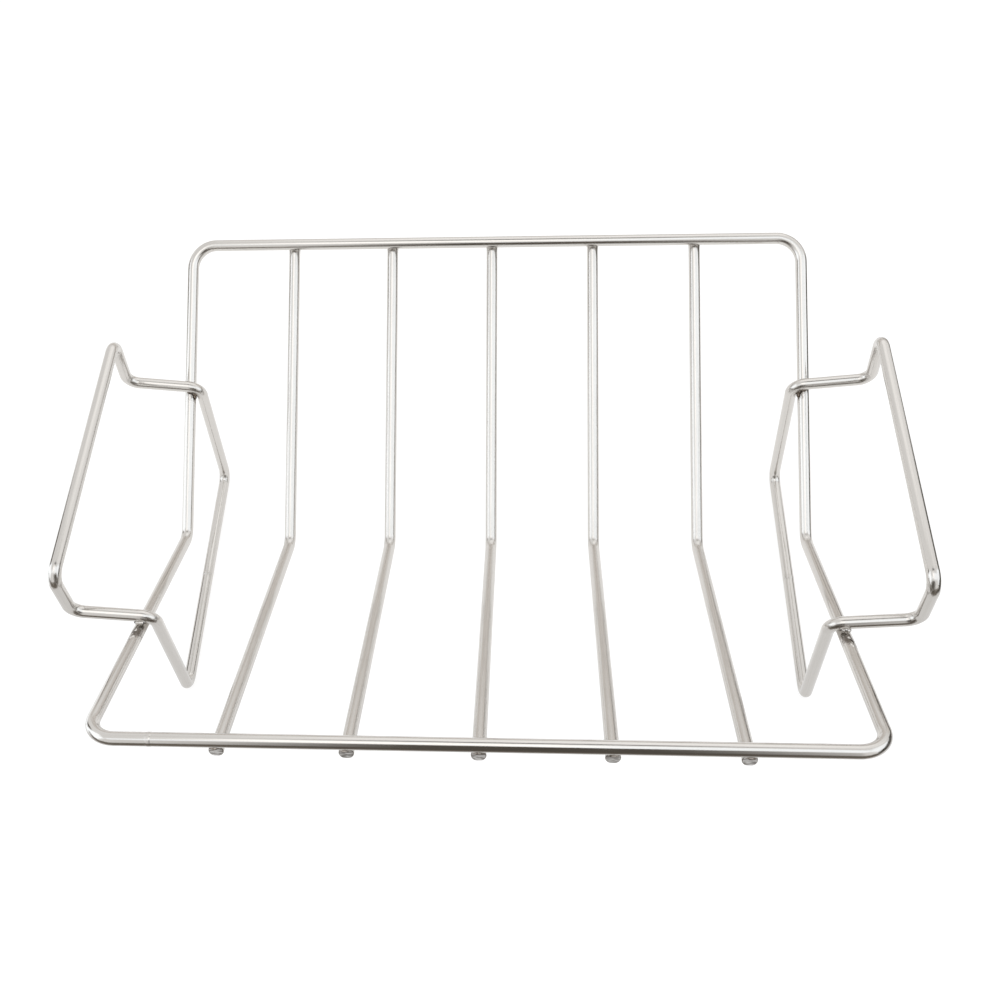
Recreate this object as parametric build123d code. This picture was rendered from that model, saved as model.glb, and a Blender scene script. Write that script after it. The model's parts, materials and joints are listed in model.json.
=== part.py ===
from build123d import *
import math
import os

# Roasting rack of round stainless wire. A rectangular frame is bent along its middle
# into a trough, ribs are welded under its two rails, and a loop at each end is handle
# and foot in one. Millimetres and degrees. X runs from handle to handle, Y from front
# to back, Z up. The origin is on the ground, under the middle of the rack.

# Wire stock, one size throughout
wire_diameter = 6.0
weld_setdown = 0.2          # how far two crossing wires are pressed into each other

# Outer frame, measured on the middle of the wire
frame_length = 330.0        # between the two side wires
frame_leg = 161.0           # from the valley up the slope to each rail
frame_slope = 29.0          # each side of the trough, above level
frame_corner_radius = 13.0
valley_bend_radius = 9.0
valley_height = 47.0        # middle of the side wires at the valley, above the ground
frame_joint_offset = 137.0  # where the ends of the frame meet, left of the middle of the front rail

# Ribs
rib_count = 5
rib_pitch = 54.8
rib_end_setback = 3.0       # a cut end stops this far inside the outer edge of the rail
rib_end_chamfer = 0.5

# Handle and foot loops, measured on the middle of the wire
handle_crossing = 81.5      # up the slope from the valley to where an arm lies on the side wire
arm_reach = 32.0            # from the side wire out to the corner under the grip
arm_slope = 8.0             # the arms climb outwards
grip_rise = 33.5            # from the outer end of the arms up to the grip
grip_lean = 5.0             # the rises lean back towards the trough
leg_splay = 4.0             # the legs spread outwards on their way down
leg_clearance = 0.3         # between a leg and the side wire that it passes
handle_bend_radius = 7.0

# Weld metal
rib_weld_radius = 1.8
rib_weld_inset = 1.2        # from the cut end of a rib in to the middle of its weld
handle_weld_radius = 3.2
handle_weld_offset = 2.9    # from a crossing towards the front, along the side wire
butt_weld_length = 2.4
butt_weld_height = 0.25     # left proud of the wire after grinding

wire_radius = wire_diameter / 2
crossing_spacing = wire_diameter - weld_setdown
half_length = frame_length / 2
slope = math.radians(frame_slope)
BACK = 1
FRONT = -1


def slope_point(x, along, above, side):
    """Point on one side of the trough: so far up the slope and so far above it, square to it."""
    y = side * (along * math.cos(slope) - above * math.sin(slope))
    z = valley_height + along * math.sin(slope) + above * math.cos(slope)
    return Vector(x, y, z)


def run_over_rise(angle):
    """Sideways run for each unit of rise on a line that leans by an angle from upright."""
    return math.tan(math.radians(angle))


def bent_wire(corners, radii):
    """Round wire along straight runs joined by bends."""
    path = FilletPolyline(*corners, radius=radii)
    section = Plane(origin=path @ 0, z_dir=path % 0) * Circle(wire_radius)
    return sweep(section, path=path)


def endless_wire(half, mirror_plane):
    """A bent half and its mirror image, joined into one closed loop."""
    return half + mirror(half, about=mirror_plane)


def butt_weld(middle, direction):
    """Low ring of weld metal where the two ends of a loop meet."""
    radius = wire_radius + butt_weld_height
    ring = Plane(origin=middle, z_dir=direction) * Cylinder(radius, butt_weld_length)
    return chamfer(ring.edges().filter_by(GeomType.CIRCLE), butt_weld_height)


def weld_bead(middle, radius):
    """Rounded lump of weld metal at a crossing."""
    return Pos(middle) * Sphere(radius)


def outer_frame():
    """Rounded rectangle of wire, bent along its middle into a trough."""
    corners = [
        slope_point(0, frame_leg, 0, BACK),
        slope_point(half_length, frame_leg, 0, BACK),
        slope_point(half_length, 0, 0, BACK),
        slope_point(half_length, frame_leg, 0, FRONT),
        slope_point(0, frame_leg, 0, FRONT),
    ]
    radii = [frame_corner_radius, valley_bend_radius, frame_corner_radius]
    loop = endless_wire(bent_wire(corners, radii), Plane.YZ)
    joint = slope_point(-frame_joint_offset, frame_leg, 0, FRONT)
    return loop + butt_weld(joint, (1, 0, 0))


def rib(x, frame):
    """One rib, pressed up against the underside of both rails and welded there."""
    rib_leg = frame_leg + wire_radius - rib_end_setback
    rib_valley = valley_height - crossing_spacing / math.cos(slope)
    corners = [
        slope_point(x, rib_leg, -crossing_spacing, BACK),
        Vector(x, 0, rib_valley),
        slope_point(x, rib_leg, -crossing_spacing, FRONT),
    ]
    wire = bent_wire(corners, [valley_bend_radius])
    cut_rims = wire.faces().filter_by(GeomType.PLANE).edges()
    body = chamfer(cut_rims, rib_end_chamfer)
    top_of_rib = wire_radius - crossing_spacing
    for side in (BACK, FRONT):
        middle = slope_point(x, rib_leg - rib_weld_inset, top_of_rib, side)
        body += weld_bead(middle, rib_weld_radius)
    return body - frame


def handle_corners():
    """Corners of the back half of the right loop, from mid grip round to mid foot."""
    crossing = slope_point(half_length, handle_crossing, crossing_spacing, BACK)
    spread = crossing.Y
    side_wire_z = valley_height + spread * math.tan(slope)
    passing_x = half_length - (wire_diameter + leg_clearance) / math.cos(math.radians(leg_splay))
    inner_x = passing_x - (crossing.Z - side_wire_z) * run_over_rise(leg_splay)
    inner_z = crossing.Z - (half_length - inner_x) * math.tan(math.radians(arm_slope))
    outer_x = half_length + arm_reach
    outer_z = crossing.Z + arm_reach * math.tan(math.radians(arm_slope))
    grip_x = outer_x - grip_rise * run_over_rise(grip_lean)
    grip_z = outer_z + grip_rise
    foot_z = wire_radius
    foot_x = inner_x + (inner_z - foot_z) * run_over_rise(leg_splay)
    return [
        Vector(grip_x, 0, grip_z),
        Vector(grip_x, spread, grip_z),
        Vector(outer_x, spread, outer_z),
        Vector(inner_x, spread, inner_z),
        Vector(foot_x, spread, foot_z),
        Vector(foot_x, 0, foot_z),
    ]


def handle(frame):
    """Right loop: grip, rises, arms laid over the side wire, legs and foot bar."""
    corners = handle_corners()
    radii = [handle_bend_radius] * (len(corners) - 2)
    loop = endless_wire(bent_wire(corners, radii), Plane.XZ)
    mid_foot = corners[-1]
    loop += butt_weld(mid_foot + Vector(0, 0, butt_weld_height), (0, 1, 0))
    for side in (BACK, FRONT):
        along = handle_crossing - side * handle_weld_offset
        middle = slope_point(half_length, along, wire_radius, side)
        loop += weld_bead(middle, handle_weld_radius)
    return loop - frame


frame = outer_frame()
right_handle = handle(frame)
nodes = {
    "outer_frame": frame,
    "right_handle": right_handle,
    "left_handle": mirror(right_handle, about=Plane.YZ),
}
for index in range(rib_count):
    rib_x = (index - (rib_count - 1) / 2) * rib_pitch
    nodes[f"rib_{index + 1}"] = rib(rib_x, frame)

os.makedirs("parts", exist_ok=True)
for name, solid in nodes.items():
    export_step(solid, f"parts/{name}.step")
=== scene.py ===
import json
import logging
import math
from dataclasses import dataclass
from enum import Enum
from typing import Any, Dict, List, Optional, Sequence, Tuple

import bmesh
import bpy
import numpy as np
from bpy.types import ID, Material, Mesh, Node, NodeSocket, NodeTree, Object
from mathutils import Matrix, Vector, noise


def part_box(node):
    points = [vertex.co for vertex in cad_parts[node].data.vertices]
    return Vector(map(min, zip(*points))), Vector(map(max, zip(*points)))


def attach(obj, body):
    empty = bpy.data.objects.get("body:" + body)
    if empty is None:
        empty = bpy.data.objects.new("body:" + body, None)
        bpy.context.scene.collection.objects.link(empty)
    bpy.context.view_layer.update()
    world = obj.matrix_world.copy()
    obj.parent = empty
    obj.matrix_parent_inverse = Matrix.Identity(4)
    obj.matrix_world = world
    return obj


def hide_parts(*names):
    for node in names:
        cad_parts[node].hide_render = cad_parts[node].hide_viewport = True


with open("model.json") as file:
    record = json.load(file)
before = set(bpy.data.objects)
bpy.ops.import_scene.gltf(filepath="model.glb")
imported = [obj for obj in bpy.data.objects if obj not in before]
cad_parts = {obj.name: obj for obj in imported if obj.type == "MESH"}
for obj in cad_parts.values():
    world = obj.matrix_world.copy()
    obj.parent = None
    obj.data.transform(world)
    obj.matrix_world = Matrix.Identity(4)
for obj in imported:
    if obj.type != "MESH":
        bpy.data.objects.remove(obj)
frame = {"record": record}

# Roasting rack of bent round stainless wire. Metres, X from handle to handle, Y from front
# to back, Z up, and the origin on the ground under the middle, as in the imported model.

MM = 0.001
FAR = 1.0  # from any weld, so that its tint of heat and painted shade doesn't reach
BALL_DIVISIONS = 4  # of the icospheres that weld metal is made of

log = logging.getLogger("roasting_rack")


def linear(hex_colour: str) -> Tuple[float, float, float, float]:
    """Turns an sRGB hex colour to linear light.

    Args:
        hex_colour: Six hex digits, with or without a leading hash.

    Returns:
        Red, green, blue and an alpha of 1, in linear light.
    """
    digits = hex_colour.lstrip("#")
    levels = [int(digits[i:i + 2], 16) / 255 for i in (0, 2, 4)]
    red, green, blue = [v / 12.92 if v <= 0.04045 else ((v + 0.055) / 1.055) ** 2.4 for v in levels]
    return red, green, blue, 1.0


def add(tree: NodeTree, kind: str, inputs: Optional[Dict[Any, Any]] = None,
        **settings: Any) -> Node:
    """Adds a node with its settings and links.

    Args:
        tree: The tree that the node goes into.
        kind: The node's type as Blender spells it, where a leading ShaderNode is left off.
        inputs: Socket names or numbers, each with a value, or with the socket that feeds it,
            or with the node whose first output does.
        settings: The node's own settings by name.

    Returns:
        The new node.
    """
    made = tree.nodes.new(kind if "Node" in kind else "ShaderNode" + kind)
    for name, value in settings.items():
        setattr(made, name, value)
    for key, value in (inputs or {}).items():
        socket = made.inputs[key]
        if isinstance(value, Node):
            value = value.outputs[0]
        if isinstance(value, NodeSocket):
            tree.links.new(value, socket)
        else:
            socket.default_value = value
    return made


def emptied_tree(owner: ID) -> NodeTree:
    """Turns on the nodes of a material or world, and clears and returns them."""
    owner.use_nodes = True
    owner.node_tree.nodes.clear()
    return owner.node_tree


def geometry_tree(name: str, sockets: Dict[str, str], output: str) -> Tuple[NodeTree, Any]:
    """Starts a Geometry Nodes tree.

    Args:
        name: The tree's name.
        sockets: The names of its inputs, each with its kind of socket.
        output: The name of its one output, a geometry.

    Returns:
        The tree, and its inputs by name.
    """
    tree = bpy.data.node_groups.new(name, "GeometryNodeTree")
    for label, kind in sockets.items():
        tree.interface.new_socket(label, in_out="INPUT", socket_type="NodeSocket" + kind)
    tree.interface.new_socket(output, in_out="OUTPUT", socket_type="NodeSocketGeometry")
    return tree, add(tree, "NodeGroupInput").outputs


def link_to_scene(name: str, data: ID) -> Object:
    """Makes an object of a mesh, lamp or camera and puts it into the scene."""
    made = bpy.data.objects.new(name, data)
    bpy.context.scene.collection.objects.link(made)
    return made


def bake(piece: Object) -> None:
    """Turns an object with live modifiers into a plain mesh and removes the modifiers.

    Args:
        piece: The object.
    """
    graph = bpy.context.evaluated_depsgraph_get()
    finished = bpy.data.meshes.new_from_object(
        piece.evaluated_get(graph), preserve_all_data_layers=True, depsgraph=graph)
    rough = piece.data
    piece.modifiers.clear()
    piece.data = finished
    bpy.data.meshes.remove(rough)
    finished.name = piece.name


def face_outwards(mesh: Mesh) -> None:
    """Merges doubles, turns every face outwards and shades the mesh smooth.

    Args:
        mesh: The mesh, changed in place.
    """
    work = bmesh.new()
    work.from_mesh(mesh)
    bmesh.ops.remove_doubles(work, verts=work.verts, dist=1e-7)
    bmesh.ops.recalc_face_normals(work, faces=work.faces)
    for face in work.faces:
        face.smooth = True
    work.to_mesh(mesh)
    work.free()


def shape_with(piece: Object, tree: NodeTree, values: Dict[str, Any]) -> None:
    """Runs a tree on an object, bakes the result and turns its faces outwards.

    Args:
        piece: The object, which holds what the tree starts from.
        tree: The Geometry Nodes tree.
        values: Values of the tree's inputs by name.
    """
    modifier = piece.modifiers.new(tree.name, "NODES")
    modifier.node_group = tree
    for socket in tree.interface.items_tree:
        if socket.name in values:
            modifier[socket.identifier] = values[socket.name]
    bake(piece)
    face_outwards(piece.data)


def read_points(mesh: Mesh) -> np.ndarray:
    """Reads the places of a mesh's vertices, one to a row."""
    points = np.empty(len(mesh.vertices) * 3, np.float32)
    mesh.vertices.foreach_get("co", points)
    return points.reshape(-1, 3)


def mark_weld_distance(mesh: Mesh, welds: Sequence[Vector]) -> None:
    """Stores on every vertex how far it is from the nearest weld, for the tint there: heat tint,
    and on the ribs also painted shadow of the rails.

    Args:
        mesh: The mesh to mark.
        welds: Places of the welds.
    """
    points = read_points(mesh)
    nearest = np.full(len(points), FAR, np.float32)
    for weld in welds:
        away = np.linalg.norm(points - np.array(weld, np.float32), axis=1)
        nearest = np.minimum(nearest, away)
    mesh.attributes.new("weld_distance", "FLOAT", "POINT").data.foreach_set("value", nearest)


def soft_step(values: np.ndarray) -> np.ndarray:
    """Rises smoothly from 0 to 1 as the values do."""
    held = np.clip(values, 0.0, 1.0)
    return held * held * (3 - 2 * held)


class Side(Enum):
    """The two slopes of the trough."""

    FRONT = -1
    BACK = 1


class End(Enum):
    """The two ends of the rack."""

    LEFT = -1
    RIGHT = 1


@dataclass(frozen=True)
class RackSizes:
    """Sizes of the rack in metres, and its slopes in radians.

    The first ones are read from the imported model, and the others repeat the CAD's values.
    """

    wire_radius: float
    half_length: float
    rail_y: float
    rail_z: float
    spread: float
    grip_x: float
    grip_z: float
    foot_x: float
    valley_z: float = 47.0 * MM
    weld_setdown: float = 0.2 * MM
    frame_corner_radius: float = 13.0 * MM
    valley_bend_radius: float = 9.0 * MM
    handle_bend_radius: float = 7.0 * MM
    frame_joint_x: float = -137.0 * MM
    handle_crossing: float = 81.5 * MM
    arm_reach: float = 32.0 * MM
    arm_slope: float = math.radians(8.0)
    grip_rise: float = 33.5 * MM
    leg_splay: float = math.radians(4.0)

    @classmethod
    def from_frame(cls) -> "RackSizes":
        """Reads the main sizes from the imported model's boxes and mounts.

        Returns:
            All the sizes.
        """
        places = {mount["name"]: mount["pos_m"] for mount in frame["record"]["mounts"]}
        rib_low, rib_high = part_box("rib_3")
        radius = (rib_high.x - rib_low.x) / 2
        return cls(
            wire_radius=radius,
            half_length=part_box("outer_frame")[1].x - radius,
            rail_y=places["back_rail"][1],
            rail_z=places["back_rail"][2],
            spread=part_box("right_handle")[1].y - radius,
            grip_x=places["right_grip"][0],
            grip_z=places["right_grip"][2],
            foot_x=places["right_foot"][0],
        )

    @property
    def slope(self) -> float:
        """Slope of each side of the trough."""
        return math.atan2(self.rail_z - self.valley_z, self.rail_y)

    @property
    def leg(self) -> float:
        """Length up the slope from the valley to a rail."""
        return math.hypot(self.rail_z - self.valley_z, self.rail_y)

    @property
    def crossing_spacing(self) -> float:
        """Distance between the middles of two wires that cross."""
        return 2 * self.wire_radius - self.weld_setdown

    def slope_point(self, x: float, along: float, above: float, side: Side) -> Vector:
        """Finds a point on one side of the trough.

        Args:
            x: Place along the rack.
            along: Distance up the slope from the valley.
            above: Height above the slope, square to it.
            side: The front or the back slope.

        Returns:
            The point in the part's frame.
        """
        y = side.value * (along * math.cos(self.slope) - above * math.sin(self.slope))
        z = self.valley_z + along * math.sin(self.slope) + above * math.cos(self.slope)
        return Vector((x, y, z))


@dataclass
class WireRoute:
    """Corners of a wire, with the bend radius at each and the share of full thickness there."""

    corners: List[Vector]
    bends: List[float]
    thickness: List[float]
    closed: bool

    # Across a cut face: how far it lies back in mm, and the share of full thickness there
    FACE_STEPS = ((0.0, 0.04), (0.01, 0.4), (0.02, 0.7))
    FACE_DEPTH = 0.04 * MM
    RIM_ANGLES = (22.5, 45.0, 67.5, 90.0)

    @classmethod
    def even(cls, corners: List[Vector], bends: List[float], closed: bool) -> "WireRoute":
        """A wire of full thickness all along."""
        return cls(corners, bends, [1.0] * len(corners), closed)

    def with_cut_ends(self, wire_radius: float, rim: float) -> "WireRoute":
        """Gives both ends a softened rim and a nearly flat cut face.

        Args:
            wire_radius: Radius of the wire.
            rim: Radius of the softened rim.

        Returns:
            The longer route, which ends where this one does.
        """
        flat = 1 - rim / wire_radius
        steps = [(depth * MM, share) for depth, share in self.FACE_STEPS]
        steps.append((self.FACE_DEPTH, flat))
        for degrees in self.RIM_ANGLES:
            turn = math.radians(degrees)
            steps.append((self.FACE_DEPTH + rim * (1 - math.cos(turn)),
                          flat + (1 - flat) * math.sin(turn)))
        first = (self.corners[1] - self.corners[0]).normalized()
        last = (self.corners[-2] - self.corners[-1]).normalized()
        start = [self.corners[0] + first * depth for depth, _ in steps]
        finish = [self.corners[-1] + last * depth for depth, _ in reversed(steps)]
        shares = [share for _, share in steps]
        return WireRoute(
            start + self.corners[1:-1] + finish,
            [0.0] * len(steps) + self.bends[1:-1] + [0.0] * len(steps),
            shares + self.thickness[1:-1] + shares[::-1],
            self.closed,
        )


class WireSweep:
    """Geometry Nodes that bend a line of corners and sweep a round section along it.

    Every vertex is left with the place it had in the straight wire, how far the wire is
    stretched there, and its share of full thickness, which the finishes read.
    """

    RING_SPACING = 1.4 * MM
    BEND_RINGS = 16
    SIDES = 36
    STRAIN_BLUR = 3
    INPUTS = {"Line": "Geometry", "Wire radius": "Float", "Ring spacing": "Float",
              "Bend rings": "Int", "Sides": "Int", "Finish": "Material"}

    def __init__(self, wire_radius: float) -> None:
        """Builds the tree once, for every wire of the rack.

        Args:
            wire_radius: Radius of the wire.
        """
        self.wire_radius = wire_radius
        self.tree, given = geometry_tree("bent_round_wire", self.INPUTS, "Wire")
        mesh = self._sweep(self._mark(self._bend(given), given["Wire radius"]), given)
        whole = add(self.tree, "GeometryNodeRealizeInstances", {"Geometry": mesh})
        dressed = add(self.tree, "GeometryNodeSetMaterial",
                      {"Geometry": whole, "Material": given["Finish"]})
        add(self.tree, "NodeGroupOutput", {0: dressed})

    def _next_value(self, source: NodeSocket, offset: int) -> NodeSocket:
        """Reads a vector at a neighbouring point of the curve.

        Args:
            source: The vector.
            offset: How many points further on.

        Returns:
            The vector there.
        """
        there = add(self.tree, "GeometryNodeOffsetPointInCurve", {"Offset": offset})
        value = add(self.tree, "GeometryNodeFieldAtIndex",
                    {"Value": source, "Index": there.outputs["Point Index"]},
                    domain="POINT", data_type="FLOAT_VECTOR")
        return value.outputs[0]

    def _bend(self, given: Any) -> NodeSocket:
        """Rounds every corner to its own radius and divides the straight runs evenly.

        Args:
            given: The tree's inputs.

        Returns:
            The curve.
        """
        tree = self.tree
        radius = add(tree, "GeometryNodeInputNamedAttribute", {"Name": "bend_radius"},
                     data_type="FLOAT")
        line = add(tree, "GeometryNodeMeshToCurve", {"Mesh": given["Line"]})
        bent = add(tree, "GeometryNodeFilletCurve",
                   {"Curve": line, "Count": given["Bend rings"],
                    "Radius": radius.outputs["Attribute"]}, mode="POLY")
        here = add(tree, "GeometryNodeInputPosition").outputs[0]
        reach = add(tree, "VectorMath", {0: self._next_value(here, 1), 1: here},
                    operation="DISTANCE")
        cuts = add(tree, "Math",
                   {0: reach.outputs["Value"], 1: given["Ring spacing"]}, operation="DIVIDE")
        whole = add(tree, "FunctionNodeFloatToInt", {0: cuts}, rounding_mode="FLOOR")
        divided = add(tree, "GeometryNodeSubdivideCurve", {"Curve": bent, "Cuts": whole})
        return divided.outputs[0]

    def _mark(self, curve: NodeSocket, radius: NodeSocket) -> NodeSocket:
        """Keeps at every ring how far along the wire it is, and how far its skin is stretched.

        Args:
            curve: The bent curve.
            radius: The wire's radius.

        Returns:
            The marked curve.
        """
        tree = self.tree
        place = add(tree, "GeometryNodeSplineParameter")
        here = add(tree, "GeometryNodeInputPosition").outputs[0]
        heading = add(tree, "GeometryNodeInputTangent").outputs[0]
        turn, run = [
            add(tree, "VectorMath",
                {0: self._next_value(value, 1), 1: self._next_value(value, -1)},
                operation="DISTANCE").outputs["Value"]
            for value in (heading, here)]
        rate = add(tree, "Math", {0: turn, 1: run}, operation="DIVIDE")
        strain = add(tree, "Math", {0: rate, 1: radius}, operation="MULTIPLY")
        soft = add(tree, "GeometryNodeBlurAttribute",
                   {0: strain, "Iterations": self.STRAIN_BLUR}, data_type="FLOAT")
        for name, value in (("along", place.outputs["Length"]), ("strain", soft.outputs[0])):
            curve = add(tree, "GeometryNodeStoreNamedAttribute",
                        {"Geometry": curve, "Name": name, "Value": value},
                        data_type="FLOAT", domain="POINT").outputs[0]
        return curve

    def _sweep(self, curve: NodeSocket, given: Any) -> NodeSocket:
        """Sweeps the section, and joins its place and the distance along into one vector.

        Args:
            curve: The marked curve.
            given: The tree's inputs.

        Returns:
            The wire's mesh.
        """
        tree = self.tree
        ring = add(tree, "GeometryNodeCurvePrimitiveCircle",
                   {"Resolution": given["Sides"], "Radius": given["Wire radius"]}, mode="RADIUS")
        spot = add(tree, "GeometryNodeInputPosition").outputs[0]
        marked = add(tree, "GeometryNodeStoreNamedAttribute",
                     {"Geometry": ring, "Name": "section", "Value": spot},
                     data_type="FLOAT_VECTOR", domain="POINT")
        share, section, along = [
            add(tree, "GeometryNodeInputNamedAttribute", {"Name": name},
                data_type=kind).outputs["Attribute"]
            for name, kind in (("thickness", "FLOAT"), ("section", "FLOAT_VECTOR"),
                               ("along", "FLOAT"))]
        swept = add(tree, "GeometryNodeCurveToMesh",
                    {"Curve": curve, "Profile Curve": marked, "Scale": share, "Fill Caps": True})
        scaled = add(tree, "VectorMath", {0: section, "Scale": share}, operation="SCALE")
        split = add(tree, "SeparateXYZ", {0: scaled})
        joined = add(tree, "CombineXYZ", {0: split, 1: split.outputs[1], 2: along})
        kept = add(tree, "GeometryNodeStoreNamedAttribute",
                   {"Geometry": swept, "Name": "wire_coord", "Value": joined},
                   data_type="FLOAT_VECTOR", domain="POINT")
        return kept.outputs[0]

    def make(self, name: str, route: WireRoute, finish: Material) -> Object:
        """Makes one wire.

        Args:
            name: Name of the piece.
            route: Where the wire goes.
            finish: Its material.

        Returns:
            The finished piece, a plain mesh.
        """
        count = len(route.corners)
        edges = [(i, (i + 1) % count) for i in range(count if route.closed else count - 1)]
        line = bpy.data.meshes.new(name)
        line.from_pydata(route.corners, edges, [])
        for key, values in (("bend_radius", route.bends), ("thickness", route.thickness)):
            line.attributes.new(key, "FLOAT", "POINT").data.foreach_set("value", values)
        piece = link_to_scene(name, line)
        shape_with(piece, self.tree, {
            "Wire radius": self.wire_radius, "Ring spacing": self.RING_SPACING,
            "Bend rings": self.BEND_RINGS, "Sides": self.SIDES, "Finish": finish})
        return piece


@dataclass(frozen=True)
class Grain:
    """Noise whose grains have a size in mm along each axis."""

    size: Tuple[float, float, float]
    detail: float = 2.0

    def make(self, tree: NodeTree, place: NodeSocket) -> NodeSocket:
        """Adds the noise to a material.

        Args:
            tree: The material's tree.
            place: Where the noise is read, in metres.

        Returns:
            The noise's value.
        """
        cells = tuple(1 / (length * MM) for length in self.size)
        scaled = add(tree, "VectorMath", {0: place, 1: cells}, operation="MULTIPLY")
        grain = add(tree, "TexNoise", {"Vector": scaled, "Scale": 1.0, "Detail": self.detail})
        return grain.outputs["Fac"]


@dataclass(frozen=True)
class SatinWire:
    """Drawn stainless steel wire, tumbled to a satin: warm grey, with fine lines along the wire.

    A sheared end is torn, so it is matt and pale, and a bend is faintly wrinkled by the tool.
    """

    name: str
    light: str = "#D8D5D1"
    dark: str = "#C2BEB9"
    # Tint near welds: heat tint, and on the ribs also painted shadow of the rails
    heat_and_shade: str = "#453E37"
    torn: str = "#DCDAD8"
    smeared: str = "#85807B"
    heat_and_shade_reach: float = 6.0 * MM
    heat_and_shade_edges: Tuple[float, float] = (1.25, 1.7)
    heat_and_shade_unevenness: float = 2.0
    heat_and_shade_share: float = 0.84
    face_radius: float = 2.64 * MM
    roughness: float = 0.14
    roughness_spread: Tuple[float, float] = (-0.02, 0.05)
    bend_roughness: float = 0.12
    torn_roughness: float = 0.55
    torn_metallic: float = 0.4
    # The die leaves lines that run along the wire. Real ones are finer than a pixel, so these
    # are drawn coarser than they are, at 0.22 mm
    lines: Grain = Grain((0.22, 0.22, 18.0))
    bands: Grain = Grain((1.1, 1.1, 70.0), 3.0)
    band_share: float = 0.55
    patches: Grain = Grain((3.5, 3.5, 14.0), 4.0)
    patch_edges: Tuple[float, float] = (0.3, 0.7)
    wrinkles: Grain = Grain((0.9, 0.9, 0.7), 3.0)
    smears: Grain = Grain((3.0, 0.7, 0.7))
    smear_edges: Tuple[float, float] = (0.4, 0.6)
    line_depth: float = 0.004 * MM
    wrinkle_depth: float = 0.12 * MM
    smear_depth: float = 0.12 * MM

    def make(self) -> Material:
        """Builds the material.

        Returns:
            The material.
        """
        material = bpy.data.materials.new(self.name)
        tree = emptied_tree(material)
        place = add(tree, "Attribute", attribute_name="wire_coord").outputs["Vector"]
        strain = add(tree, "Attribute", attribute_name="strain").outputs["Fac"]
        lines, bands, patches, wrinkles = [
            grain.make(tree, place)
            for grain in (self.lines, self.bands, self.patches, self.wrinkles)]
        # The shear's blade drags its lines across the end, level along X
        smears = self.smears.make(tree, add(tree, "TexCoord").outputs["Object"])
        face = self._cut_face(tree, place)
        shade = add(tree, "Mix", {0: self.band_share, 2: lines, 3: bands}, data_type="FLOAT")
        colour = add(tree, "Mix",
                     {0: shade, 6: linear(self.dark), 7: linear(self.light)}, data_type="RGBA")
        colour = self._heat_and_shade_tint(tree, colour.outputs[2], patches, wrinkles)
        low, high = self.smear_edges
        streaked = add(tree, "MapRange", {"Value": smears, "From Min": low, "From Max": high})
        end = add(tree, "Mix",
                  {0: streaked, 6: linear(self.smeared), 7: linear(self.torn)}, data_type="RGBA")
        colour = add(tree, "Mix", {0: face, 6: colour, 7: end.outputs[2]}, data_type="RGBA")
        low, high = self.patch_edges
        smooth, coarse = self.roughness_spread
        rough = add(tree, "MapRange",
                    {"Value": patches, "From Min": low, "From Max": high,
                     "To Min": self.roughness + smooth, "To Max": self.roughness + coarse})
        rough = add(tree, "Math",
                    {0: strain, 1: self.bend_roughness, 2: rough}, operation="MULTIPLY_ADD")
        rough = add(tree, "Mix", {0: face, 2: rough, 3: self.torn_roughness}, data_type="FLOAT")
        metal = add(tree, "Mix", {0: face, 2: 1.0, 3: self.torn_metallic}, data_type="FLOAT")
        height = add(tree, "Mix", {0: 0.5, 2: lines, 3: bands}, data_type="FLOAT")
        bent = add(tree, "Math", {0: wrinkles, 1: strain}, operation="MULTIPLY")
        fine = add(tree, "Bump", {"Strength": 1.0, "Distance": self.line_depth, "Height": height})
        creased = add(tree, "Bump",
                      {"Strength": 1.0, "Distance": self.wrinkle_depth, "Height": bent,
                       "Normal": fine})
        smeared = add(tree, "Bump",
                      {"Strength": face, "Distance": self.smear_depth, "Height": smears,
                       "Normal": creased})
        shader = add(tree, "BsdfPrincipled",
                     {"Base Color": colour.outputs[2], "Metallic": metal,
                      "Roughness": rough, "Normal": smeared})
        add(tree, "OutputMaterial", {0: shader})
        return material

    def _cut_face(self, tree: NodeTree, place: NodeSocket) -> NodeSocket:
        """Finds the sheared end of a wire, which lies inside the wire's round.

        Args:
            tree: The material's tree.
            place: The place in the straight wire.

        Returns:
            One on the end and nought elsewhere.
        """
        flat = add(tree, "VectorMath", {0: place, 1: (1.0, 1.0, 0.0)}, operation="MULTIPLY")
        out = add(tree, "VectorMath", {0: flat}, operation="LENGTH")
        inside = add(tree, "Math", {0: out.outputs["Value"], 1: self.face_radius},
                     operation="LESS_THAN")
        return inside.outputs[0]

    def _heat_and_shade_tint(self, tree: NodeTree, colour: NodeSocket, patches: NodeSocket,
                   flecks: NodeSocket) -> NodeSocket:
        """Darkens the steel towards brown close to a weld, in patches and flecks: heat tint, and on
        the ribs also painted shadow of the rails over them.

        Args:
            tree: The material's tree.
            colour: The steel's colour.
            patches: Noise for the patches.
            flecks: Noise for the flecks.

        Returns:
            The tinted colour.
        """
        away = add(tree, "Attribute", attribute_name="weld_distance").outputs["Fac"]
        mottle = add(tree, "Mix", {0: 0.5, 2: patches, 3: flecks}, data_type="FLOAT")
        reach = self.heat_and_shade_reach
        full, none = self.heat_and_shade_edges
        uneven = add(tree, "Math",
                     {0: mottle, 1: self.heat_and_shade_unevenness * reach, 2: away},
                     operation="MULTIPLY_ADD")
        near = add(tree, "MapRange",
                   {"Value": uneven, "From Min": full * reach, "From Max": none * reach,
                    "To Min": self.heat_and_shade_share, "To Max": 0.0}, interpolation_type="SMOOTHSTEP")
        tinted = add(tree, "Mix", {0: near, 6: colour, 7: linear(self.heat_and_shade)}, data_type="RGBA")
        return tinted.outputs[2]


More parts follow.
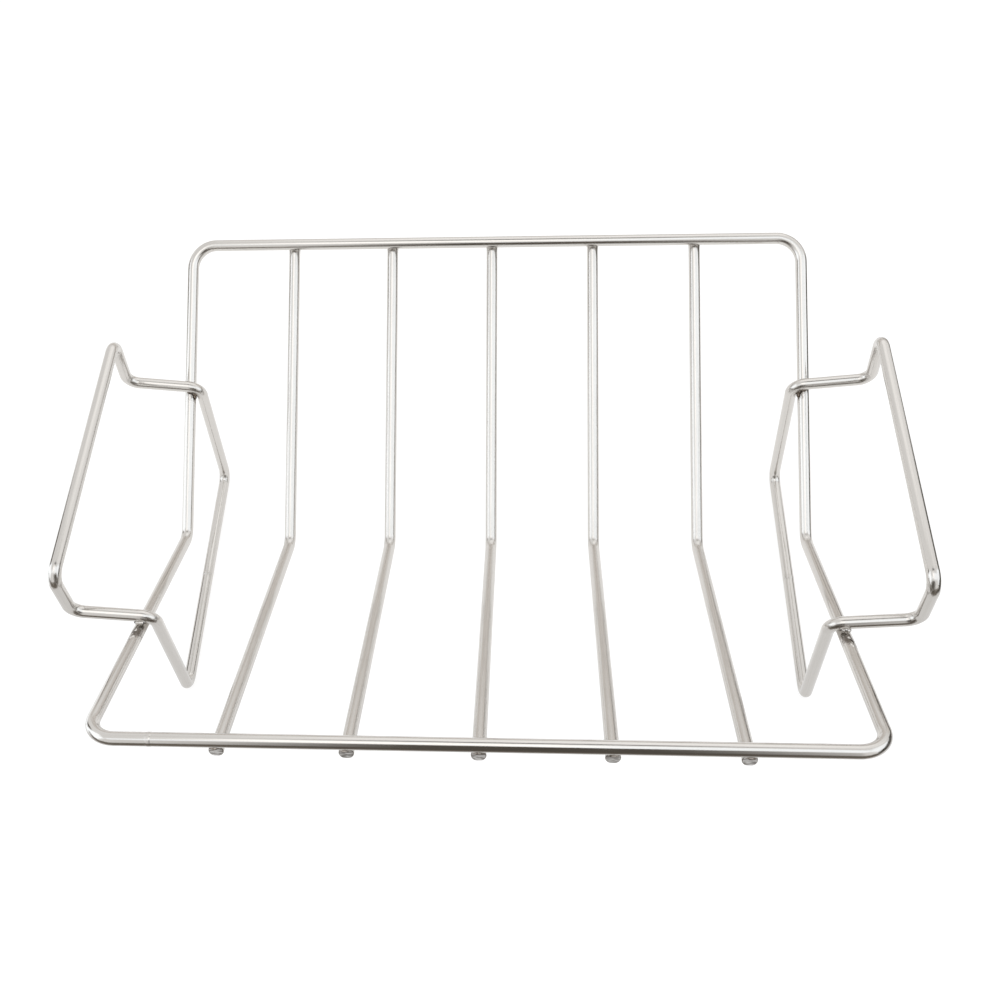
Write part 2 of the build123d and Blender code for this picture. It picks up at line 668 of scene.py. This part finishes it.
@dataclass(frozen=True)
class WeldMetal:
    """Stainless weld metal, brushed after welding: rough, rippled and browned by its heat, with
    pale flecks that are painted highlights.
    """

    name: str = "stainless_weld_metal_brushed"
    light: str = "#DAD6D1"
    dark: str = "#37302A"
    flecks: Grain = Grain((0.8, 2.4, 2.4))
    glint_fleck_edges: Tuple[float, float] = (0.4, 0.5)
    grain: float = 0.5 * MM
    grain_detail: float = 5.0
    roughness: Tuple[float, float] = (0.15, 0.45)
    depth: float = 0.06 * MM

    def make(self) -> Material:
        """Builds the material.

        Returns:
            The material.
        """
        material = bpy.data.materials.new(self.name)
        tree = emptied_tree(material)
        place = add(tree, "TexCoord").outputs["Object"]
        fine = add(tree, "TexNoise",
                   {"Vector": place, "Scale": 1 / self.grain, "Detail": self.grain_detail})
        # Pale flecks on the dark weld metal are painted highlights, standing in for glints on its
        # ripples
        low, high = self.glint_fleck_edges
        spread = add(tree, "MapRange",
                     {"Value": self.flecks.make(tree, place), "From Min": low, "From Max": high})
        colour = add(tree, "Mix",
                     {0: spread, 6: linear(self.dark), 7: linear(self.light)}, data_type="RGBA")
        smooth, coarse = self.roughness
        rough = add(tree, "MapRange",
                    {"Value": fine.outputs["Fac"], "To Min": smooth, "To Max": coarse})
        bump = add(tree, "Bump",
                   {"Strength": 1.0, "Distance": self.depth, "Height": fine.outputs["Fac"]})
        shader = add(tree, "BsdfPrincipled",
                     {"Base Color": colour.outputs[2], "Metallic": 1.0,
                      "Roughness": rough, "Normal": bump})
        add(tree, "OutputMaterial", {0: shader})
        return material


@dataclass
class OuterFrame:
    """The rounded rectangle of wire, bent along its middle into a trough."""

    sizes: RackSizes
    sweep: WireSweep

    def route(self) -> WireRoute:
        """Lists the frame's corners, starting and ending at its butt weld.

        Returns:
            The closed route.
        """
        s = self.sizes
        corners = [Vector((s.frame_joint_x, -s.rail_y, s.rail_z))]
        bends = [0.0]
        for end, sides in ((End.LEFT, (Side.FRONT, None, Side.BACK)),
                           (End.RIGHT, (Side.BACK, None, Side.FRONT))):
            x = end.value * s.half_length
            for side in sides:
                if side is None:
                    corners.append(Vector((x, 0.0, s.valley_z)))
                    bends.append(s.valley_bend_radius)
                else:
                    corners.append(Vector((x, side.value * s.rail_y, s.rail_z)))
                    bends.append(s.frame_corner_radius)
        return WireRoute.even(corners, bends, closed=True)

    def build(self, finish: Material, welds: Sequence[Vector]) -> List[Object]:
        """Builds the frame's wire.

        Args:
            finish: Its material.
            welds: Places of the welds.

        Returns:
            The one piece.
        """
        piece = self.sweep.make("frame_wire", self.route(), finish)
        mark_weld_distance(piece.data, welds)
        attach(piece, "root")
        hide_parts("outer_frame")
        return [piece]


@dataclass
class Ribs:
    """Five parallel wires under the two rails."""

    sizes: RackSizes
    sweep: WireSweep
    count: int = 5
    end_setback: float = 3.0 * MM
    end_rim: float = 0.5 * MM
    pinch_length: float = 4.0 * MM
    pinch_spread: float = 0.1
    flat_depth: float = 2.4 * MM
    flat_give: float = 0.25

    def places(self) -> List[float]:
        """Place of each rib along the rack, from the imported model."""
        boxes = [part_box(f"rib_{i + 1}") for i in range(self.count)]
        return [(low.x + high.x) / 2 for low, high in boxes]

    def contacts(self) -> List[Tuple[Vector, Side]]:
        """Where each rib touches a rail, with the side."""
        s = self.sizes
        return [(s.slope_point(x, s.leg, -s.crossing_spacing / 2, side), side)
                for x in self.places() for side in Side]

    def end(self, x: float, side: Side) -> Vector:
        """Middle of one cut end."""
        s = self.sizes
        return s.slope_point(x, s.leg + s.wire_radius - self.end_setback, -s.crossing_spacing, side)

    def route(self, x: float) -> WireRoute:
        """Lists the corners of one rib, from its front end to its back end.

        Args:
            x: The rib's place along the rack.

        Returns:
            The open route, with its cut ends.
        """
        s = self.sizes
        low = s.valley_z - s.crossing_spacing / math.cos(s.slope)
        corners = [self.end(x, Side.FRONT), Vector((x, 0.0, low)), self.end(x, Side.BACK)]
        plain = WireRoute.even(corners, [0.0, s.valley_bend_radius, 0.0], closed=False)
        return plain.with_cut_ends(s.wire_radius, self.end_rim)

    def pinch_ends(self, mesh: Mesh, x: float) -> None:
        """Flattens the underside of both ends and spreads them, as the shear's jaws leave them.

        Args:
            mesh: The mesh of one rib.
            x: The rib's place along the rack.
        """
        slope = self.sizes.slope
        points = read_points(mesh)
        for side in Side:
            inwards = np.array((0.0, -side.value * math.cos(slope), -math.sin(slope)))
            below = np.array((0.0, side.value * math.sin(slope), -math.cos(slope)))
            local = points - np.array(self.end(x, side))
            share = soft_step(1 - (local @ inwards) / self.pinch_length)
            share[points[:, 1] * side.value < 0] = 0.0
            depth = local @ below
            given_way = self.flat_depth + self.flat_give * (depth - self.flat_depth)
            pressed = np.minimum(depth, given_way)
            points += (share * (pressed - depth))[:, None] * below
            points[:, 0] += share * self.pinch_spread * (points[:, 0] - x)
        mesh.vertices.foreach_set("co", points.astype(np.float32).ravel())
        mesh.update()

    def build(self, finish: Material, welds: Sequence[Vector]) -> List[Object]:
        """Builds the five ribs.

        Args:
            finish: Their material.
            welds: Places of the welds.

        Returns:
            The five pieces.
        """
        made = []
        for index, x in enumerate(self.places()):
            piece = self.sweep.make(f"rib_wire_{index + 1}", self.route(x), finish)
            self.pinch_ends(piece.data, x)
            mark_weld_distance(piece.data, welds)
            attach(piece, "root")
            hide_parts(f"rib_{index + 1}")
            made.append(piece)
        return made


@dataclass
class HandleLoop:
    """A closed loop of wire at one end: grip, rises, arms over the side wire, legs and foot bar."""

    sizes: RackSizes
    sweep: WireSweep
    end: End

    # Where the side wire is darkened near the welds, in mm from where the wires touch: heat tint
    # outwards and forwards of the front ones, and a darker patch outwards, along Y and up from the
    # back ones, in the corner under the arm
    FRONT_HEAT = ((-0.8, 8.5), (4.0, 12.5))
    BACK_DARKENING = (-3.5, -3.0, -2.5)

    def half_profile(self) -> List[Vector]:
        """Finds the loop's corners seen from the front, from the foot up, with y at nought.

        Returns:
            The corners at the foot, the leg's top, the arm's outer end and the grip.
        """
        s = self.sizes
        arm, splay = math.tan(s.arm_slope), math.tan(s.leg_splay)
        foot_z = s.wire_radius
        outer_x = s.half_length + s.arm_reach
        outer_z = s.grip_z - s.grip_rise
        inner_z = (outer_z - arm * (outer_x - s.foot_x - foot_z * splay)) / (1 + arm * splay)
        inner_x = s.foot_x - (inner_z - foot_z) * splay
        outline = ((s.foot_x, foot_z), (inner_x, inner_z), (outer_x, outer_z), (s.grip_x, s.grip_z))
        return [Vector((self.end.value * x, 0.0, z)) for x, z in outline]

    def route(self) -> WireRoute:
        """Lists the loop's corners, starting and ending at the butt weld of the foot bar.

        Returns:
            The closed route.
        """
        s = self.sizes
        outline = self.half_profile()
        across = Vector((0.0, s.spread, 0.0))
        corners = [outline[0]] + [point + across for point in outline]
        corners += [point - across for point in reversed(outline)]
        bends = [0.0] + [s.handle_bend_radius] * (len(corners) - 1)
        return WireRoute.even(corners, bends, closed=True)

    def crossings(self) -> List[Tuple[Vector, Side]]:
        """Where the loop's arms touch the side wire, with the side."""
        s = self.sizes
        x = self.end.value * s.half_length
        return [(s.slope_point(x, s.handle_crossing, s.crossing_spacing / 2, side), side)
                for side in Side]

    def darkened_places(self) -> List[Vector]:
        """Finds where the side wire is darkened near the welds: heat tint by the front ones, the
        corner under the arm by the back ones.

        Returns:
            The places, on both slopes.
        """
        slope = self.sizes.slope
        forwards = Vector((0.0, -math.cos(slope), math.sin(slope)))
        outwards = Vector((float(self.end.value), 0.0, 0.0))
        places = []
        for contact, side in self.crossings():
            if side is Side.FRONT:
                places += [contact + (forwards * ahead + outwards * out) * MM
                           for out, ahead in self.FRONT_HEAT]
            else:
                out, back, up = self.BACK_DARKENING
                places.append(contact + Vector((self.end.value * out, back, up)) * MM)
        return places

    def build(self, finish: Material, welds: Sequence[Vector]) -> List[Object]:
        """Builds the loop.

        Args:
            finish: Its material.
            welds: Places of the welds.

        Returns:
            The one piece.
        """
        label = self.end.name.lower()
        piece = self.sweep.make(f"{label}_loop_wire", self.route(), finish)
        mark_weld_distance(piece.data, welds)
        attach(piece, "root")
        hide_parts(f"{label}_handle")
        return [piece]


@dataclass(frozen=True)
class Blob:
    """One lump of a weld: middle and half sizes in mm, along the arm, forwards, off the slope."""

    middle: Tuple[float, float, float]
    half: Tuple[float, float, float]


# A bead under the arm, and two streaks of spatter further forwards on the side wire
FRONT_WELD = (
    Blob((1.4, 1.7, 0.0), (1.4, 0.9, 0.75)),
    Blob((-0.6, 1.6, 0.2), (2.1, 1.0, 0.75)),
    Blob((1.3, 10.4, -0.5), (0.7, 1.2, 0.7)),
    Blob((0.7, 8.9, -0.35), (0.7, 1.2, 0.7)),
    Blob((0.1, 7.4, -0.25), (0.7, 1.2, 0.7)),
    Blob((0.5, 13.4, -0.3), (0.7, 1.1, 0.7)),
    Blob((-0.3, 12.2, -0.3), (0.7, 1.1, 0.7)),
)
# A bead that runs over the inner edge of the side wire
BACK_WELD = (
    Blob((-0.6, 2.4, 0.5), (1.9, 1.2, 0.9)),
    Blob((-2.9, 3.2, -0.6), (1.1, 1.6, 1.2)),
    Blob((-3.1, 4.9, -1.3), (0.8, 1.7, 1.1)),
)


@dataclass
class HandleWelds:
    """The fused beads that hold the arms of both loops to the side wires, on one slope."""

    name: str
    sizes: RackSizes
    loops: Sequence[HandleLoop]
    side: Side
    lumps: Tuple[Blob, ...]
    voxel: float = 0.25 * MM
    softening: float = 0.5
    softening_rounds: int = 4
    ripple: float = 0.2 * MM
    ripple_width: float = 1.1 * MM

    # Fall-off, step in fineness from octave to octave, and number of octaves
    RIPPLE_NOISE = (0.9, 2.0, 3)

    def build(self, finish: Material) -> List[Object]:
        """Builds the beads as one piece.

        Args:
            finish: Their material.

        Returns:
            The one piece.
        """
        work = bmesh.new()
        for loop in self.loops:
            for contact, side in loop.crossings():
                if side is self.side:
                    self._add_lumps(work, contact, loop.end)
        mesh = bpy.data.meshes.new(self.name)
        work.to_mesh(mesh)
        work.free()
        mesh.materials.append(finish)
        piece = link_to_scene(self.name, mesh)
        piece.modifiers.new("fuse", "REMESH").voxel_size = self.voxel
        soften = piece.modifiers.new("soften", "SMOOTH")
        soften.factor, soften.iterations = self.softening, self.softening_rounds
        bake(piece)
        # The skin of a puddle sets in ripples
        for vertex in piece.data.vertices:
            where = vertex.co / self.ripple_width
            vertex.co += vertex.normal * (noise.fractal(where, *self.RIPPLE_NOISE) * self.ripple)
        face_outwards(piece.data)
        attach(piece, "root")
        return [piece]

    def _add_lumps(self, work: bmesh.types.BMesh, contact: Vector, end: End) -> None:
        """Adds the lumps of one weld.

        Args:
            work: The mesh that they go into.
            contact: Where the wires touch.
            end: The end of the rack that the weld is at.
        """
        slope = self.sizes.slope
        off_slope = Vector((0.0, -self.side.value * math.sin(slope), math.cos(slope)))
        forwards = Vector((0.0, -math.cos(slope), -self.side.value * math.sin(slope)))
        outwards = Vector((float(end.value), 0.0, 0.0))
        axes = Matrix((outwards, forwards, off_slope)).transposed().to_4x4()
        for lump in self.lumps:
            place = axes @ (Vector(lump.middle) * MM)
            scale = Matrix.Diagonal((*(Vector(lump.half) * MM), 1.0))
            bmesh.ops.create_icosphere(
                work, subdivisions=BALL_DIVISIONS, radius=1.0,
                matrix=Matrix.Translation(contact + place) @ axes @ scale)


@dataclass
class RibWelds:
    """Geometry Nodes that set a small collar of squeezed-out metal at every rib and rail."""

    sizes: RackSizes
    ribs: Ribs
    half: Tuple[float, float, float] = (2.8, 2.4, 0.9)
    ripple: float = 0.12 * MM
    ripple_width: float = 0.9 * MM

    INPUTS = {"Places": "Geometry", "Half size": "Vector", "Ripple": "Float", "Finish": "Material"}

    def _tree(self) -> NodeTree:
        """Builds the tree, which moves the skin of every collar in and out with a fixed noise.

        Returns:
            The tree.
        """
        tree, given = geometry_tree("rib_weld_collars", self.INPUTS, "Collars")
        lump = add(tree, "GeometryNodeMeshIcoSphere",
                   {"Radius": 1.0, "Subdivisions": BALL_DIVISIONS})
        turn = add(tree, "GeometryNodeInputNamedAttribute", {"Name": "turn"},
                   data_type="FLOAT_VECTOR")
        set_out = add(tree, "GeometryNodeInstanceOnPoints",
                      {"Points": given["Places"], "Instance": lump.outputs["Mesh"],
                       "Rotation": turn.outputs["Attribute"], "Scale": given["Half size"]})
        whole = add(tree, "GeometryNodeRealizeInstances", {"Geometry": set_out})
        spot = add(tree, "GeometryNodeInputPosition").outputs[0]
        grain = add(tree, "TexNoise",
                    {"Vector": spot, "Scale": 1 / self.ripple_width, "Detail": 2.0})
        about_nought = add(tree, "Math", {0: grain.outputs["Fac"], 1: 0.5}, operation="SUBTRACT")
        move = add(tree, "Math", {0: about_nought, 1: given["Ripple"]}, operation="MULTIPLY")
        normal = add(tree, "GeometryNodeInputNormal").outputs[0]
        shift = add(tree, "VectorMath", {0: normal, "Scale": move}, operation="SCALE")
        uneven = add(tree, "GeometryNodeSetPosition", {"Geometry": whole, "Offset": shift})
        dressed = add(tree, "GeometryNodeSetMaterial",
                      {"Geometry": uneven, "Material": given["Finish"]})
        add(tree, "NodeGroupOutput", {0: dressed})
        return tree

    def build(self, finish: Material) -> List[Object]:
        """Builds the ten collars as one piece.

        Args:
            finish: Their material.

        Returns:
            The one piece.
        """
        contacts = self.ribs.contacts()
        places = bpy.data.meshes.new("rib_welds")
        places.from_pydata([place for place, _ in contacts], [], [])
        turns = [v for _, side in contacts for v in (side.value * self.sizes.slope, 0.0, 0.0)]
        places.attributes.new("turn", "FLOAT_VECTOR", "POINT").data.foreach_set("vector", turns)
        piece = link_to_scene("rib_welds", places)
        shape_with(piece, self._tree(), {
            "Half size": Vector(self.half) * MM, "Ripple": self.ripple, "Finish": finish})
        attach(piece, "root")
        return [piece]


@dataclass
class ButtWelds:
    """The rings where the two ends of each closed wire meet, ground down nearly flush."""

    sizes: RackSizes
    sweep: WireSweep
    length: float = 2.4 * MM
    height: float = 0.08 * MM

    def ring_route(self, middle: Vector, heading: Vector) -> WireRoute:
        """Lists a short, slightly crowned stretch of thicker wire with both ends in the wire.

        Args:
            middle: Middle of the weld.
            heading: Direction of the wire there.

        Returns:
            The open route.
        """
        full = 1 + self.height / self.sizes.wire_radius
        # From an end inwards: place as a share of the ring's length, and share of full thickness
        half = ((0.5, 0.9), (0.49, 0.985), (0.36, 0.3 + 0.7 * full), (0.2, full))
        steps = [(-place, share) for place, share in half] + list(reversed(half))
        corners = [middle + heading * (place * self.length) for place, _ in steps]
        return WireRoute(corners, [0.0] * len(steps), [share for _, share in steps], closed=False)

    def build(self, finish: Material) -> List[Object]:
        """Builds the three rings.

        Args:
            finish: Their material.

        Returns:
            The three pieces.
        """
        s = self.sizes
        foot = Vector((s.foot_x, 0.0, s.wire_radius))
        lift = Vector((0.0, 0.0, self.height))
        along_x, along_y = Vector((1.0, 0.0, 0.0)), Vector((0.0, 1.0, 0.0))
        # Each has its middle, the wire's direction and the side that the heat stained
        rings = {
            "frame_butt_weld": (Vector((s.frame_joint_x, -s.rail_y, s.rail_z)), along_x,
                                Vector((0.0, -0.75, -0.66))),
            "right_butt_weld": (foot + lift, along_y, Vector((-0.6, 0.0, 0.8))),
            "left_butt_weld": (Vector((-foot.x, foot.y, foot.z)) + lift, along_y,
                               Vector((0.4, 0.0, 0.92))),
        }
        made = []
        for name, (middle, heading, seam) in rings.items():
            piece = self.sweep.make(name, self.ring_route(middle, heading), finish)
            mark_weld_distance(piece.data, [middle + seam * s.wire_radius])
            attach(piece, "root")
            made.append(piece)
        return made


@dataclass(frozen=True)
class Panel:
    """A soft-edged sheet beside or over the rack, seen only in its reflections."""

    name: str
    middle: Tuple[float, float, float]
    half_width: Tuple[float, float, float]
    half_height: Tuple[float, float, float]
    glow: float
    tint: str = "#FFFFFF"
    fade: Tuple[float, float] = (0.1, 0.1)

    def corners(self) -> List[Vector]:
        """The four corners in turn."""
        mid, across, up = Vector(self.middle), Vector(self.half_width), Vector(self.half_height)
        return [mid - across - up, mid + across - up, mid + across + up, mid - across + up]

    def hang(self) -> None:
        """Makes the panel, which only reflections see."""
        mesh = bpy.data.meshes.new(self.name)
        mesh.from_pydata(self.corners(), [], [(0, 1, 2, 3)])
        spots = mesh.uv_layers.new(name="spots")
        for loop, spot in zip(spots.data, ((0, 0), (1, 0), (1, 1), (0, 1))):
            loop.uv = spot
        mesh.materials.append(self._material())
        made = link_to_scene(self.name, mesh)
        made.visible_camera = made.visible_diffuse = False
        made.visible_transmission = made.visible_shadow = False

    def _material(self) -> Material:
        """Builds a glow that fades out towards the edges.

        Returns:
            The material.
        """
        material = bpy.data.materials.new(self.name)
        tree = emptied_tree(material)
        spot = add(tree, "UVMap", uv_map="spots")
        split = add(tree, "SeparateXYZ", {0: spot})
        levels = []
        for axis, fade in enumerate(self.fade):
            off = add(tree, "Math", {0: split.outputs[axis], 1: 0.5}, operation="SUBTRACT")
            far = add(tree, "Math", {0: off}, operation="ABSOLUTE")
            levels.append(add(tree, "MapRange",
                              {"Value": far, "From Min": 0.5, "From Max": 0.5 - fade},
                              interpolation_type="SMOOTHSTEP"))
        share = add(tree, "Math", {0: levels[0], 1: levels[1]}, operation="MULTIPLY")
        clear = add(tree, "BsdfTransparent")
        glow = add(tree, "Emission", {"Color": linear(self.tint), "Strength": self.glow})
        both = add(tree, "MixShader", {0: share, 1: clear, 2: glow})
        add(tree, "OutputMaterial", {0: both})
        return material


class Studio:
    """A white sweep under soft lamps, with panels that give the steel its lights and edges."""

    DARK = "#FFF2E2"
    COOL = "#F5FAFF"
    PALE = "#FFFAF5"
    PANELS = (
        Panel("key_panel", (-0.17, -0.39, 1.3), (0.36, 0, 0), (0, 0.4, 0), 1.75,
              fade=(0.22, 0.08)),
        Panel("right_overhead_panel", (0.55, -0.5, 1.34), (0.62, 0, 0), (0, 0.48, 0), 1.6, COOL,
              (0.12, 0.1)),
        Panel("left_overhead_panel", (-0.8, -0.7, 1.34), (0.4, 0, 0), (0, 0.3, 0), 1.55, COOL,
              (0.15, 0.15)),
        Panel("back_panel", (0.25, 1.05, 1.0), (0.9, 0, 0), (0, -0.45, 0.42), 1.3,
              fade=(0.25, 0.1)),
        Panel("gap_card", (0.05, 0.28, 1.3), (0.45, 0, 0), (0, 0.14, 0), 0.12, fade=(0.4, 0.2)),
        Panel("left_panel", (-1.1, -0.2, 0.5), (0, 0.6, 0), (0, 0, 0.56), 1.8, COOL,
              (0.15, 0.06)),
        Panel("right_panel", (1.1, -0.2, 0.72), (0, 0.6, 0), (0, 0, 0.62), 1.6, COOL,
              (0.15, 0.03)),
        Panel("right_back_panel", (0.78, 0.7, 0.95), (0, 0.38, 0), (-0.33, 0, 0.45), 1.15,
              fade=(0.2, 0.12)),
        Panel("front_card", (0.025, -0.33, 0.22), (0.28, 0, 0), (0, 0, 0.2), 0.11, DARK,
              (0.4, 0.06)),
        Panel("front_low_card", (0.05, -0.92, 0.08), (1.3, 0, 0), (0, 0, 0.13), 0.22, DARK,
              (0.1, 0.2)),
        Panel("front_floor_card", (0.05, -0.56, 0.002), (1.3, 0, 0), (0, 0.36, 0), 0.2, DARK,
              (0.1, 0.08)),
        Panel("near_floor_card", (0, -0.13, 0.0015), (0.6, 0, 0), (0, 0.1, 0), 0.9,
              fade=(0.1, 0.2)),
        Panel("right_card", (1.09, -0.07, 0.13), (0, 0.72, 0), (0, 0, 0.17), 0.06, DARK,
              (0.1, 0.2)),
        Panel("right_floor_card", (0.74, 0.3, 0.003), (0, 1.1, 0), (0.38, 0, 0), 0.1, DARK,
              (0.1, 0.12)),
        Panel("left_card", (-1.09, -0.4, 0.05), (0, 0.4, 0), (0, 0, 0.1), 0.12, DARK,
              (0.1, 0.15)),
        Panel("left_back_card", (-1.09, 0.35, 0.25), (0, 0.18, 0), (0, 0, 0.29), 0.14, DARK,
              (0.25, 0.15)),
        Panel("left_floor_panel", (-0.7, 0.03, 0.0025), (0, 0.2, 0), (0.38, 0, 0), 1.7, COOL,
              (0.2, 0.12)),
        Panel("back_card", (0.2, 1.3, 0.2), (1.5, 0, 0), (0, 0, 0.3), 0.8, PALE, (0.1, 0.3)),
        Panel("back_floor_card", (0.2, 0.98, 0.002), (1.5, 0, 0), (0, 0.32, 0), 0.85, PALE,
              (0.1, 0.4)),
    )
    LAMP_PLACE = (0.0, -0.2, 1.4)
    LAMP_SIZE = (2.0, 1.8)
    LAMP_RADIANCE = 1.2
    LAMP_WATTS = 4  # for each square metre, where a lamp is as bright as a white surround
    WORLD_GLOW = (0.7, 1.0)
    FLOOR_GLOW = (0.45, 0.8)
    FLOOR_TINT = "#898989"
    FLOOR_REACH = 8.0

    def build(self) -> None:
        """Builds the world, the floor, the lamp and the panels."""
        self._world()
        self._floor()
        self._lamp()
        for panel in self.PANELS:
            panel.hang()
        log.info("studio: %d panels", len(self.PANELS))

    @staticmethod
    def _glow(tree: NodeTree, shed: float, seen: float) -> NodeSocket:
        """Gives a surface one strength for the light it sheds and another where it is seen.

        Args:
            tree: The tree of the surface.
            shed: Strength for the light that it sheds.
            seen: Strength for rays that look at it straight, in a reflection or through glass.

        Returns:
            The strength.
        """
        path = add(tree, "LightPath").outputs
        first = add(tree, "Math",
                    {0: path["Is Camera Ray"], 1: path["Is Glossy Ray"]}, operation="MAXIMUM")
        second = add(tree, "Math", {0: first, 1: path["Is Transmission Ray"]}, operation="MAXIMUM")
        strength = add(tree, "MapRange", {"Value": second, "To Min": shed, "To Max": seen})
        return strength.outputs[0]

    def _world(self) -> None:
        """Makes a white surround, softer for the light that it sheds."""
        world = bpy.data.worlds.new("white_surround")
        bpy.context.scene.world = world
        tree = emptied_tree(world)
        glow = add(tree, "Background",
                   {"Color": linear("#FFFFFF"), "Strength": self._glow(tree, *self.WORLD_GLOW)})
        add(tree, "OutputWorld", {0: glow})

    def _floor(self) -> None:
        """Lays a pale floor that reads white but keeps the rack's soft shadow."""
        far = self.FLOOR_REACH
        mesh = bpy.data.meshes.new("floor")
        spots = [(-far, -far, 0), (far, -far, 0), (far, far, 0), (-far, far, 0)]
        mesh.from_pydata(spots, [], [(0, 1, 2, 3)])
        material = bpy.data.materials.new("matt_white_paper")
        tree = emptied_tree(material)
        paper = add(tree, "BsdfDiffuse", {"Color": linear(self.FLOOR_TINT)})
        glow = add(tree, "Emission", {"Strength": self._glow(tree, *self.FLOOR_GLOW)})
        both = add(tree, "AddShader", {0: paper, 1: glow})
        add(tree, "OutputMaterial", {0: both})
        mesh.materials.append(material)
        floor = link_to_scene("floor", mesh)

    def _lamp(self) -> None:
        """Hangs a lamp that shines straight down, as bright per area as its radiance says."""
        lamp = bpy.data.lights.new("overhead_lamp", "AREA")
        lamp.shape = "RECTANGLE"
        width, depth = self.LAMP_SIZE
        lamp.size, lamp.size_y = width, depth
        lamp.energy = self.LAMP_WATTS * width * depth * self.LAMP_RADIANCE
        hung = link_to_scene("overhead_lamp", lamp)
        hung.location = self.LAMP_PLACE
        hung.visible_camera = hung.visible_glossy = False


@dataclass(frozen=True)
class Viewpoint:
    """The photograph's viewpoint: place, aim, lens and the small shift of its frame."""

    place: Vector = Vector((0.02118, -0.29619, 0.57054))
    right: Vector = Vector((0.99761, 0.03835, -0.05752))
    down: Vector = Vector((0.00070, -0.83762, -0.54625))
    forward: Vector = Vector((-0.06913, 0.5449, -0.83565))
    lens: float = 40.471
    sensor: float = 36.0
    shift: Tuple[float, float] = (0.04736, -0.03248)
    clip: Tuple[float, float] = (0.01, 50.0)

    def make(self) -> None:
        """Makes the camera the scene's own."""
        data = bpy.data.cameras.new("camera")
        data.sensor_width, data.lens = self.sensor, self.lens
        data.shift_x, data.shift_y = self.shift
        data.clip_start, data.clip_end = self.clip
        camera = link_to_scene("camera", data)
        aim = Matrix((self.right, -self.down, -self.forward)).transposed()
        camera.rotation_mode = "QUATERNION"
        camera.rotation_quaternion = aim.to_quaternion()
        camera.location = self.place
        bpy.context.scene.camera = camera


def main() -> None:
    """Builds the rack and its studio."""
    logging.basicConfig(level=logging.INFO, format="%(name)s: %(message)s")
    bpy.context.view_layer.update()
    bpy.context.scene.view_settings.view_transform = "Standard"
    sizes = RackSizes.from_frame()
    sweep = WireSweep(sizes.wire_radius)
    outer_frame = OuterFrame(sizes, sweep)
    ribs = Ribs(sizes, sweep)
    loops = [HandleLoop(sizes, sweep, end) for end in End]
    welds = [place for loop in loops for place, _ in loop.crossings()]
    spread_darkening = [place for loop in loops for place in loop.darkened_places()]
    frame_finish = SatinWire("stainless_frame_wire_satin", heat_and_shade="#5F574F", heat_and_shade_reach=7.0 * MM)
    pieces = outer_frame.build(frame_finish.make(), spread_darkening)
    # Near-black tint round each rib where it meets a rail: heat tint of the weld flash, and painted
    # shadow of the rail over it
    rib_finish = SatinWire("stainless_rib_wire_satin", heat_and_shade="#2B2621", roughness=0.2,
                           heat_and_shade_reach=4.5 * MM)
    pieces += ribs.build(rib_finish.make(), [place for place, _ in ribs.contacts()])
    loop_finish = SatinWire("stainless_handle_wire_satin", heat_and_shade_reach=4.0 * MM).make()
    for loop in loops:
        pieces += loop.build(loop_finish, welds)
    # Darker weld metal for the beads at the back crossings, in the corner under the arm
    scaled = WeldMetal("stainless_weld_metal_darkened", light="#7A6F64", dark="#2F2924")
    for name, side, lumps, metal in (
            ("front_handle_welds", Side.FRONT, FRONT_WELD, WeldMetal()),
            ("back_handle_welds", Side.BACK, BACK_WELD, scaled)):
        pieces += HandleWelds(name, sizes, loops, side, lumps).build(metal.make())
    collar = WeldMetal("stainless_rib_weld_metal", light="#A8A098", dark="#6E655C")
    pieces += RibWelds(sizes, ribs).build(collar.make())
    ground = SatinWire("stainless_ground_joint_satin", roughness=0.2, heat_and_shade_reach=0.9 * MM)
    pieces += ButtWelds(sizes, sweep).build(ground.make())
    for piece in pieces:
        mesh = piece.data
        log.info("%s: %d vertices, %d faces", piece.name, len(mesh.vertices), len(mesh.polygons))
    Studio().build()
    Viewpoint().make()


if __name__ == "__main__":
    main()
